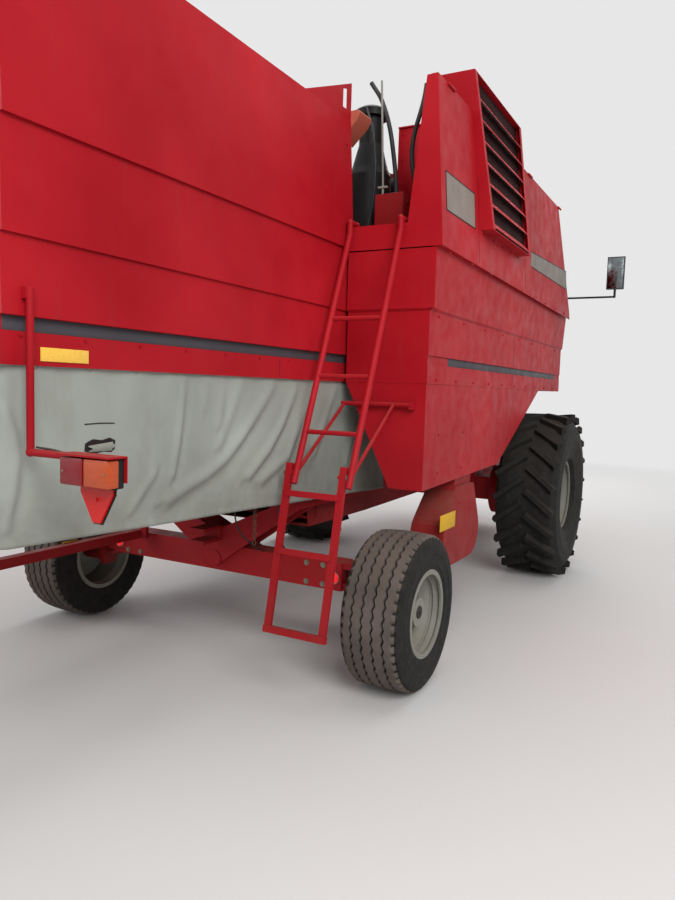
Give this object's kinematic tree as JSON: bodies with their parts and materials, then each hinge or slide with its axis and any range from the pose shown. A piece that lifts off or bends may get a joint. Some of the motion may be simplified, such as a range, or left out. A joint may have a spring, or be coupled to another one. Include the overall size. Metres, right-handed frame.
{
  "type": "combine harvester",
  "caption": "Self-propelled combine harvester without its header: clapboard body with a long straw hood and canvas skirt, cab, grain tank, unloading tube and rear ladder.",
  "frame": {"origin": "middle of the bounding box's bottom face, on the ground between the wheels", "axes": "front of the machine towards -Y, its left-hand side towards +X, up +Z"},
  "size_m": [3.48, 8.3975, 4.011],
  "materials": {
    "red_paint": "weathered semi-gloss",
    "dark_red_paint": "matte, rusty",
    "grey_paint": "matte",
    "tyre": "matte",
    "canvas": "dirty woven",
    "glass": "clear",
    "steel": "worn",
    "black_plastic": "satin",
    "cast_engine": "oily",
    "rusty": "rusty",
    "black_paint": "satin",
    "lamp_lens": "glossy",
    "seat_cloth": "woven"
  },
  "bodies": {
    "chassis": {"main_frame": "red_paint", "front_axle": "red_paint", "threshing_body": "red_paint", "cleaning_shoe": "dark_red_paint", "straw_walkers": "steel", "side_panels": "red_paint", "lower_shields": "red_paint", "upper_covers": "red_paint", "air_intake": "red_paint", "engine_deck": "dark_red_paint", "engine": "cast_engine", "radiator": "black_paint", "air_cleaner": "black_paint", "exhaust": "rusty", "grain_tank": "red_paint", "straw_hood": "red_paint", "canvas_skirt": "canvas", "lamp_frames": "red_paint", "tail_lamps": "lamp_lens", "upper_ladder": "red_paint", "rear_axle": "red_paint", "grain_elevator": "dark_red_paint", "fuel_tank": "black_plastic", "cab_shell": "red_paint", "cab_roof": "red_paint", "cab_glass": "glass", "seat": "seat_cloth", "steering_column": "black_plastic", "platform": "red_paint", "mirrors": "black_paint", "work_lamps": "steel", "drive_belts": "rusty"},
    "front_wheel_left": {"front_tyre_left": "tyre", "front_rim_left": "grey_paint"},
    "front_wheel_right": {"front_tyre_right": "tyre", "front_rim_right": "grey_paint"},
    "rear_wheel_left": {"rear_tyre_left": "tyre", "rear_rim_left": "grey_paint"},
    "rear_wheel_right": {"rear_tyre_right": "tyre", "rear_rim_right": "grey_paint"},
    "knuckle_left": {"knuckle_left": "dark_red_paint"},
    "knuckle_right": {"knuckle_right": "dark_red_paint"},
    "tie_rod": {"tie_rod": "steel"},
    "feeder_house": {"feeder_house": "red_paint", "feeder_chain": "steel"},
    "lift_barrels": {"lift_barrels": "black_paint"},
    "lift_rods": {"lift_rods": "steel"},
    "unloader": {"unloader": "red_paint"},
    "cab_door": {"cab_door": "red_paint", "door_glass": "glass"},
    "tank_lid_left": {"tank_lid_left": "red_paint"},
    "tank_lid_right": {"tank_lid_right": "red_paint"},
    "lower_ladder": {"lower_ladder": "red_paint"}
  },
  "joints": [
    {"name": "front_spin_left", "type": "hinge", "parent": "chassis", "child": "front_wheel_left", "pos_m": [1.36, -1.49125, 0.8], "axis": [1, 0, 0], "continuous": true},
    {"name": "front_spin_right", "type": "hinge", "parent": "chassis", "child": "front_wheel_right", "pos_m": [-1.36, -1.49125, 0.8], "axis": [1, 0, 0], "continuous": true},
    {"name": "steer_left", "type": "hinge", "parent": "chassis", "child": "knuckle_left", "pos_m": [1.02, 1.94175, 0.6], "axis": [0, 0, 1], "range_deg": [-28, 28]},
    {"name": "steer_right", "type": "hinge", "parent": "chassis", "child": "knuckle_right", "pos_m": [-1.02, 1.94175, 0.6], "axis": [0, 0, 1], "range_deg": [-28, 28]},
    {"name": "tie_rod_turn", "type": "hinge", "parent": "knuckle_left", "child": "tie_rod", "pos_m": [1.02, 1.64175, 0.48], "axis": [0, 0, 1], "range_deg": [-28, 28]},
    {"name": "rear_spin_left", "type": "hinge", "parent": "knuckle_left", "child": "rear_wheel_left", "pos_m": [1.317, 1.94175, 0.47], "axis": [1, 0, 0], "continuous": true},
    {"name": "rear_spin_right", "type": "hinge", "parent": "knuckle_right", "child": "rear_wheel_right", "pos_m": [-1.317, 1.94175, 0.47], "axis": [1, 0, 0], "continuous": true},
    {"name": "feeder_lift", "type": "hinge", "parent": "chassis", "child": "feeder_house", "pos_m": [0, -2.15125, 1.44], "axis": [-1, 0, 0], "range_deg": [-4, 17]},
    {"name": "lift_barrel_turn", "type": "hinge", "parent": "chassis", "child": "lift_barrels", "pos_m": [0, -1.69125, 0.84], "axis": [-1, 0, 0], "range_deg": [-3, 12.5]},
    {"name": "lift_rod_slide", "type": "slide", "parent": "lift_barrels", "child": "lift_rods", "axis": [0, -0.994, -0.1095], "range_m": [-0.045, 0.1882]},
    {"name": "unload_swing", "type": "hinge", "parent": "chassis", "child": "unloader", "pos_m": [1.1, -0.20125, 2.806], "axis": [0, 0, -1], "range_deg": [0, 90]},
    {"name": "cab_door_hinge", "type": "hinge", "parent": "chassis", "child": "cab_door", "pos_m": [0.812, -2.32125, 1.96], "axis": [0, 0, 1], "range_deg": [0, 85]},
    {"name": "tank_lid_left_hinge", "type": "hinge", "parent": "chassis", "child": "tank_lid_left", "pos_m": [1.236, -1.49125, 3.7], "axis": [0, 1, 0], "range_deg": [0, 110]},
    {"name": "tank_lid_right_hinge", "type": "hinge", "parent": "chassis", "child": "tank_lid_right", "pos_m": [-1.236, -1.49125, 3.7], "axis": [0, -1, 0], "range_deg": [0, 110]},
    {"name": "ladder_fold", "type": "hinge", "parent": "chassis", "child": "lower_ladder", "pos_m": [-1.015, 2.39875, 1.29], "axis": [1, 0, 0], "range_deg": [0, 155]}
  ],
  "couplings": [
    {"joint": "steer_right", "follows": "steer_left", "ratio": 1},
    {"joint": "tie_rod_turn", "follows": "steer_left", "ratio": -1},
    {"joint": "lift_barrel_turn", "follows": "feeder_lift", "ratio": 0.6996},
    {"joint": "lift_rod_slide", "follows": "feeder_lift", "m_per_rad": 0.6125}
  ]
}
